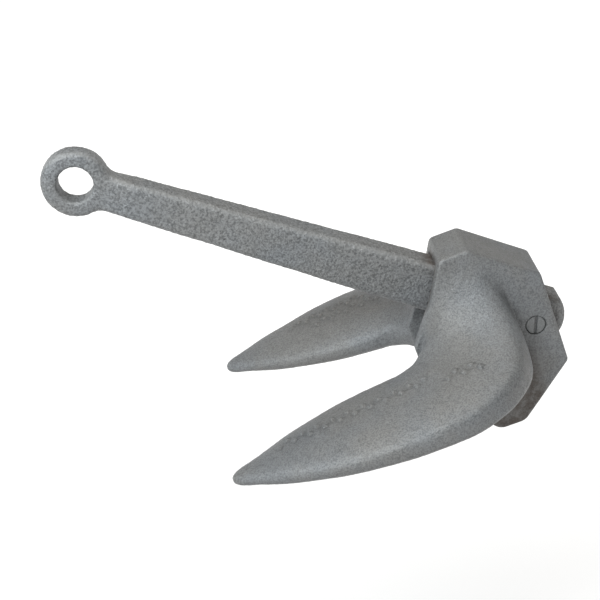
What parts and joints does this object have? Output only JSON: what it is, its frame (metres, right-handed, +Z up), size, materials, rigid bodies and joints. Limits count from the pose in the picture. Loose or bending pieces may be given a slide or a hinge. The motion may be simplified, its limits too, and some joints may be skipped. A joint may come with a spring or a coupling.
{
  "type": "boat anchor",
  "caption": "Stockless boat anchor with a two-fluke cast head, a tapered shank ending in an eye, and a cross pin on which the shank tips to either side.",
  "frame": {"origin": "on the floor, under the middle of the anchor's box", "axes": "+Z up as the anchor stands on its fluke tips and lower palm, +X from the fluke tips towards the crown, +Y across the flukes along the pivot pin"},
  "size_m": [0.3218, 0.2146, 0.1895],
  "materials": {
    "head_casting": "matt zinc-grey coating over fine sand-cast skin",
    "shank_casting": "matt zinc-grey coating over coarse, pitted sand-cast skin",
    "pin_metal": "matt zinc-grey coating"
  },
  "bodies": {
    "head": {"head": "head_casting", "pivot_pin": "pin_metal"},
    "shank": {"shank": "shank_casting"}
  },
  "joints": [
    {"name": "shank_pivot", "type": "hinge", "parent": "head", "child": "shank", "pos_m": [0.13801, 0, 0.07416], "axis": [0, 1, 0], "range_deg": [-78.8, 0]}
  ]
}
